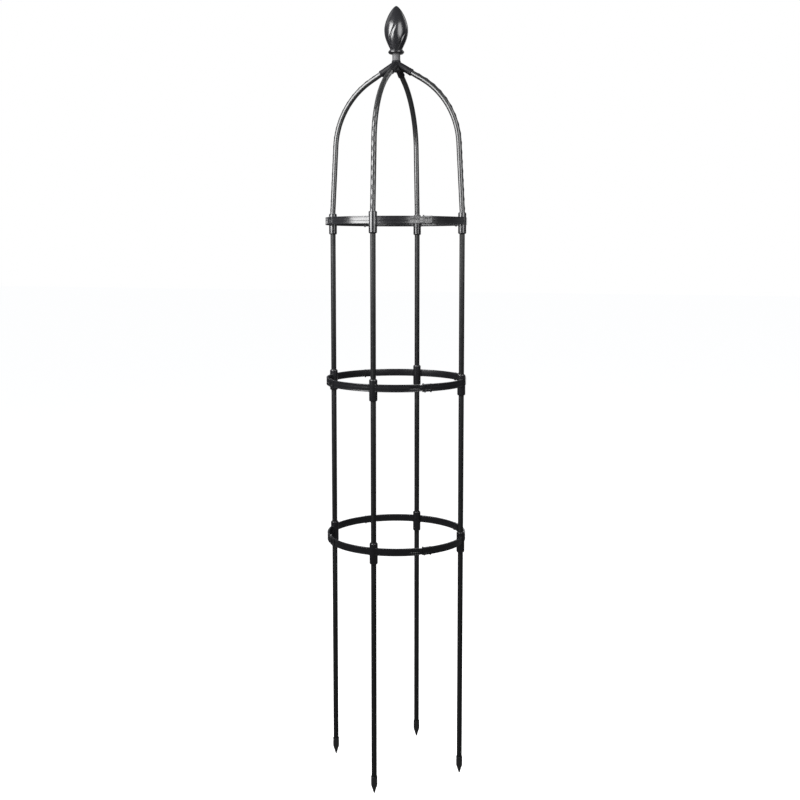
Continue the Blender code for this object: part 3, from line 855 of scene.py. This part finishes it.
class Finish:
    """A Principled material and the few node patterns that the finishes share."""

    def __init__(self, name, metallic, roughness, coat=0.0, specular=0.5):
        self.material = bpy.data.materials.new(name)
        self.material.use_nodes = True
        self.tree = self.material.node_tree
        self.shader = self.tree.nodes["Principled BSDF"]
        self.shader.inputs["Metallic"].default_value = metallic
        self.shader.inputs["Roughness"].default_value = roughness
        self.shader.inputs["Coat Weight"].default_value = coat
        self.shader.inputs["Specular IOR Level"].default_value = specular
        self.shader.inputs["Coat Roughness"].default_value = roughness * COAT_SMOOTHER
        self.place = self.add("ShaderNodeTexCoord").outputs["Object"]

    def add(self, kind, **settings):
        """A node with its settings."""
        node = self.tree.nodes.new(kind)
        for key, value in settings.items():
            setattr(node, key, value)
        return node

    def wire(self, source, target):
        """Join a socket, or a constant, to a socket."""
        if isinstance(source, (int, float, tuple)):
            target.default_value = source
        else:
            self.tree.links.new(source, target)

    def stretched(self, scale):
        """Object coordinates scaled along each axis."""
        mapping = self.add("ShaderNodeMapping")
        self.wire(self.place, mapping.inputs["Vector"])
        self.wire(scale, mapping.inputs["Scale"])
        return mapping.outputs["Vector"]

    def noise(self, scale, detail=4.0, stretch=(1.0, 1.0, 1.0)):
        """Noise from 0 to 1 at a scale per metre."""
        texture = self.add("ShaderNodeTexNoise")
        self.wire(self.stretched(stretch), texture.inputs["Vector"])
        self.wire(scale, texture.inputs["Scale"])
        self.wire(detail, texture.inputs["Detail"])
        return texture.outputs["Fac"]

    def spread(self, value, low, high, new_low, new_high):
        """A value from low to high, spread smoothly from new_low to new_high."""
        node = self.add("ShaderNodeMapRange", interpolation_type="SMOOTHSTEP")
        for socket, number in zip(node.inputs, (value, low, high, new_low, new_high)):
            self.wire(number, socket)
        return node.outputs["Result"]

    def maths(self, operation, a, b):
        """The result of an operation on two values, kept from 0 to 1."""
        node = self.add("ShaderNodeMath", operation=operation, use_clamp=True)
        self.wire(a, node.inputs[0])
        self.wire(b, node.inputs[1])
        return node.outputs["Value"]

    def mixed(self, share, first, second):
        """A colour between two."""
        node = self.add("ShaderNodeMix", data_type="RGBA")
        self.wire(share, node.inputs[0])
        self.wire(first, node.inputs[6])
        self.wire(second, node.inputs[7])
        return node.outputs[2]

    def edges(self, low, high):
        """1 on worn outer edges, broken up by noise."""
        sharp = self.spread(self.add("ShaderNodeNewGeometry").outputs["Pointiness"], low, high, 0.0, 1.0)
        patches = self.spread(self.noise(WEAR_SCALE), *WEAR_PATCHES, 0.0, 1.0)
        return self.maths("MULTIPLY", sharp, patches)

    def dust(self, most=0.7):
        """The share of dust: the most on faces that look up, in patches, and none on the others."""
        split = self.add("ShaderNodeSeparateXYZ")
        self.wire(self.add("ShaderNodeNewGeometry").outputs["Normal"], split.inputs[0])
        facing = self.spread(split.outputs["Z"], *DUST_FACING, 0.0, 1.0)
        patches = self.spread(self.noise(DUST_SCALE), *DUST_PATCHES, 0.0, most)
        return self.maths("MULTIPLY", facing, patches)

    def bumped(self, *layers):
        """Surface relief from (height, strength, distance) layers, finest last."""
        normal = None
        for height, strength, distance in layers:
            bump = self.add("ShaderNodeBump")
            self.wire(height, bump.inputs["Height"])
            self.wire(strength, bump.inputs["Strength"])
            self.wire(distance, bump.inputs["Distance"])
            if normal is not None:
                self.wire(normal, bump.inputs["Normal"])
            normal = bump.outputs["Normal"]
        self.wire(normal, self.shader.inputs["Normal"])

    def coloured(self, colour, roughness):
        """Join the colour and the roughness to the shader."""
        self.wire(colour, self.shader.inputs["Base Color"])
        self.wire(roughness, self.shader.inputs["Roughness"])
        return self.material


def coating_finish(name, low, high, coat, specular):
    """Black plastic coat on steel: orange peel, faint draw lines, rubbed edges and a little dust."""
    finish = Finish(name, 0.0, low, coat, specular)
    cloud = finish.noise(26.0, stretch=(1.0, 1.0, 0.35))
    draw_lines = finish.noise(900.0, detail=2.0, stretch=(1.0, 1.0, 0.02))
    colour = finish.mixed(cloud, COATING_DARK, COATING_LIGHT)
    colour = finish.mixed(finish.dust(), colour, COATING_DUST)
    colour = finish.mixed(finish.edges(0.53, 0.60), colour, COATING_WORN)
    roughness = finish.spread(finish.noise(70.0), *SHEEN_PATCHES, low, high)
    orange_peel = finish.noise(900.0, detail=2.0)
    finish.bumped((draw_lines, 0.05, 0.0002), (orange_peel, 0.05, 0.0002))
    return finish.coloured(colour, roughness)


def plastic_finish(name, low, high, ripple, grain, coat, specular, dust):
    """Semi-gloss moulded plastic: flow clouding, fine texture, rubbed edges and a little dust."""
    finish = Finish(name, 0.0, low, coat, specular)
    cloud = finish.noise(38.0)
    lighter = tuple(channel * PLASTIC_LIGHTENING for channel in PLASTIC_DARK)
    colour = finish.mixed(cloud, (*PLASTIC_DARK, 1.0), (*lighter, 1.0))
    colour = finish.mixed(finish.dust(dust), colour, PLASTIC_DUST)
    colour = finish.mixed(finish.edges(0.54, 0.62), colour, PLASTIC_WORN)
    roughness = finish.spread(finish.noise(90.0), *SHEEN_PATCHES, low, high)
    flow = finish.noise(120.0)
    texture = finish.noise(1200.0, detail=2.0)
    finish.bumped((flow, ripple, 0.0004), (texture, grain, 0.0001))
    return finish.coloured(colour, roughness)


def zinc_finish():
    """Dull zinc: turning lines, mottled plate and lighter rubbed edges."""
    finish = Finish("dull_zinc", 0.15, 0.60)
    plate = finish.noise(150.0, detail=6.0)
    turning = finish.noise(60.0, detail=3.0, stretch=(1.0, 1.0, 60.0))
    colour = finish.mixed(plate, ZINC_DARK, ZINC_LIGHT)
    colour = finish.mixed(finish.edges(0.53, 0.60), colour, ZINC_WORN)
    roughness = finish.spread(turning, *SHEEN_PATCHES, 0.58, 0.72)
    finish.bumped((turning, 0.10, 0.0002), (plate, 0.06, 0.0002))
    return finish.coloured(colour, roughness)


# Studio.


def look_at(obj, target):
    """Point an object's -Z axis at a place."""
    obj.rotation_euler = (Vector(target) - obj.location).to_track_quat("-Z", "Y").to_euler()


def softbox(name, angle, distance, height, size, power, target_height):
    """A rectangular light, its angle measured round the object from the camera towards the right."""
    data = bpy.data.lights.new(name, "AREA")
    data.shape = "RECTANGLE"
    data.size, data.size_y = size
    data.energy = power
    light = bpy.data.objects.new(name, data)
    bearing = CAMERA_AZIMUTH - math.pi / 2 + math.radians(angle)
    light.location = (distance * math.cos(bearing), distance * math.sin(bearing), height)
    light.visible_camera = False
    bpy.context.scene.collection.objects.link(light)
    look_at(light, (0.0, 0.0, target_height))


def seen_and_cast(tree, seen, cast, surface):
    """Show one shader to the camera, and another to the light that falls on the object."""
    path = tree.nodes.new("ShaderNodeLightPath")
    mix = tree.nodes.new("ShaderNodeMixShader")
    tree.links.new(path.outputs["Is Camera Ray"], mix.inputs[0])
    tree.links.new(cast.outputs[0], mix.inputs[1])
    tree.links.new(seen.outputs[0], mix.inputs[2])
    tree.links.new(mix.outputs[0], surface)


def pale_world():
    """A white backdrop that lights the object more dimly than it looks."""
    world = bpy.data.worlds.new("studio")
    world.use_nodes = True
    bpy.context.scene.world = world
    tree = world.node_tree
    seen = tree.nodes["Background"]
    seen.inputs["Color"].default_value = WHITE
    seen.inputs["Strength"].default_value = 1.0
    cast = tree.nodes.new("ShaderNodeBackground")
    cast.inputs["Color"].default_value = BACKDROP_CAST
    cast.inputs["Strength"].default_value = BACKDROP_CAST_STRENGTH
    seen_and_cast(tree, seen, cast, tree.nodes["World Output"].inputs["Surface"])


def pale_floor():
    """A wide, plain floor under the spikes."""
    mesh = bpy.data.meshes.new("floor")
    half = FLOOR_HALF_SIZE
    corners = [(-half, -half, 0), (half, -half, 0), (half, half, 0), (-half, half, 0)]
    mesh.from_pydata(corners, [], [(0, 1, 2, 3)])
    material = bpy.data.materials.new("pale_floor")
    material.use_nodes = True
    tree = material.node_tree
    seen = tree.nodes["Principled BSDF"]
    seen.inputs["Base Color"].default_value = FLOOR_SEEN
    seen.inputs["Roughness"].default_value = FLOOR_SEEN_ROUGHNESS
    seen.inputs["Emission Color"].default_value = WHITE
    seen.inputs["Emission Strength"].default_value = FLOOR_SEEN_GLOW
    cast = tree.nodes.new("ShaderNodeBsdfDiffuse")
    cast.inputs["Color"].default_value = FLOOR_CAST
    seen_and_cast(tree, seen, cast, tree.nodes["Material Output"].inputs["Surface"])
    mesh.materials.append(material)
    in_scene(mesh, "floor")


def studio_camera():
    """The camera, with the photograph's lens, place and framing."""
    data = bpy.data.cameras.new("camera")
    data.lens = CAMERA_LENS
    data.sensor_width = SENSOR_WIDTH
    data.shift_y = CAMERA_SHIFT
    camera = bpy.data.objects.new("camera", data)
    across = CAMERA_DISTANCE * math.sin(CAMERA_AZIMUTH)
    towards = -CAMERA_DISTANCE * math.cos(CAMERA_AZIMUTH)
    camera.location = (across, towards, CAMERA_HEIGHT)
    camera.rotation_euler = (math.pi / 2 - CAMERA_PITCH, 0.0, CAMERA_YAW)
    bpy.context.scene.collection.objects.link(camera)
    bpy.context.scene.camera = camera


def build_object():
    """Every detailed piece, on its body."""
    satin = coating_finish(
        "satin_black_coating", low=0.34, high=0.46, coat=0.0, specular=0.24
    )
    glossy = coating_finish(
        "glossy_black_coating", low=0.28, high=0.36, coat=0.6, specular=0.5
    )
    plastic = plastic_finish(
        "moulded_black", low=0.24, high=0.36, ripple=0.04, grain=0.05,
        coat=0.6, specular=0.5, dust=0.6,
    )
    smooth = plastic_finish(
        "smooth_black", low=0.24, high=0.31, ripple=0.015, grain=0.01,
        coat=0.6, specular=0.5, dust=0.05,
    )
    polished = plastic_finish(
        "polished_black", low=0.25, high=0.30, ripple=0.015, grain=0.01,
        coat=0.7, specular=0.5, dust=0.2,
    )
    matt = plastic_finish(
        "matt_black", low=0.44, high=0.56, ripple=0.04, grain=0.05,
        coat=0.0, specular=0.15, dust=0.1,
    )
    tubes = {kind: tube_mesh(f"{kind}_right") for kind in ("lower_tube", "middle_tube", "upper_tube")}
    spike = spike_mesh()
    quarter = quarter_mesh()
    arm = arm_mesh()
    for leg, angle in LEG_ANGLES.items():
        for kind, mesh in tubes.items():
            piece(at_leg(mesh, angle), f"{kind}_{leg}", satin)
        piece(at_leg(spike, angle), f"ground_spike_{leg}", plastic)
        piece(at_leg(arm, angle), f"dome_arm_{leg}", glossy, sharp=ROUND_CREASE_ANGLE)
        for level in LEVELS:
            node = f"{level}_ring_quarter_{leg}"
            low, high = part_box(node)
            piece(at_leg(quarter, angle, (low.z + high.z) / 2), node, smooth)
    piece(hub_mesh(), "top_hub", matt)
    piece(post_mesh(), "finial_post", zinc_finish())
    piece(collar_mesh(), "finial_collar", polished)
    piece(bud_mesh(), "finial_bud", polished, sharp=ROUND_CREASE_ANGLE)


def build_studio():
    """Floor, backdrop, lights and camera."""
    bpy.context.scene.view_settings.view_transform = "Standard"
    pale_world()
    pale_floor()
    softbox(
        "key_left", angle=-52.0, distance=1.30, height=2.01,
        size=(1.00, 1.42), power=58.0, target_height=2.01,
    )
    softbox(
        "fill_right", angle=36.0, distance=1.30, height=2.01,
        size=(0.80, 1.42), power=20.5, target_height=2.01,
    )
    softbox(
        "rim_left", angle=-115.0, distance=1.20, height=2.75,
        size=(0.70, 0.90), power=1.2, target_height=1.75,
    )
    softbox(
        "rim_right", angle=128.0, distance=1.30, height=2.45,
        size=(0.40, 0.70), power=1.3, target_height=1.85,
    )
    softbox(
        "back", angle=160.0, distance=1.80, height=1.55,
        size=(0.90, 1.60), power=3.5, target_height=1.50,
    )
    studio_camera()


build_object()
build_studio()
